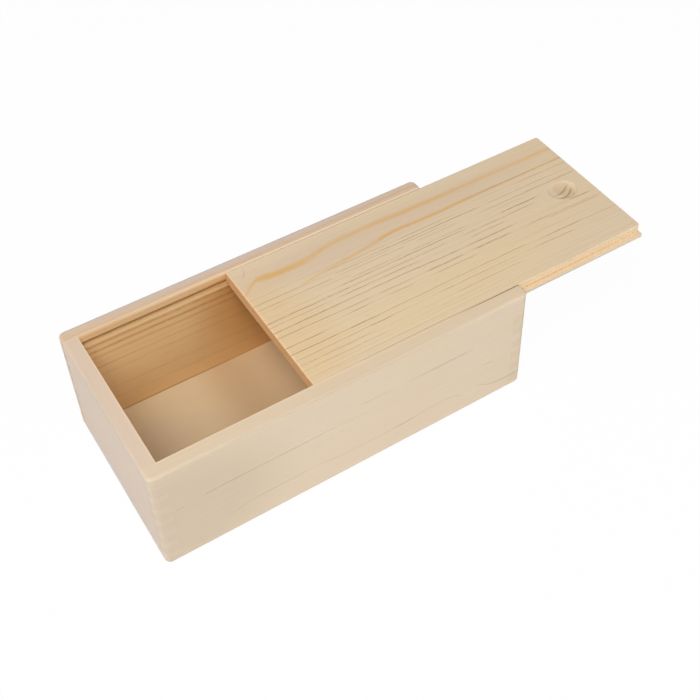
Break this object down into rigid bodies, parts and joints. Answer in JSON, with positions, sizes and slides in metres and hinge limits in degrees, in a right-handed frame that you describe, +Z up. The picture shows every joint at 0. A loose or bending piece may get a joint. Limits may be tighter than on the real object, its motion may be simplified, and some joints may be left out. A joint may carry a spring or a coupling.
{
  "type": "sliding lid box",
  "caption": "Oblong pine box with finger-jointed corners and a flat lid with a thumb scoop that slides out lengthways in grooves over a lower end wall.",
  "frame": {"origin": "centre of the box's underside", "axes": "+X along the box towards the low end wall, the way the lid slides open; +Y across the box; +Z up through the lid"},
  "size_m": [0.2768, 0.1, 0.065],
  "materials": {
    "pine_side": "sanded smooth, unfinished",
    "pine_end": "sanded smooth, unfinished",
    "pine_lid": "sanded smooth, unfinished",
    "plywood": "bare veneer"
  },
  "bodies": {
    "box": {"front_wall": "pine_side", "back_wall": "pine_side", "closed_end_wall": "pine_end", "open_end_wall": "pine_end", "bottom_panel": "plywood"},
    "lid": {"sliding_lid": "pine_lid"}
  },
  "joints": [
    {"name": "lid_slide", "type": "slide", "parent": "box", "child": "lid", "axis": [1, 0, 0], "range_m": [-0.077, 0.115]}
  ]
}
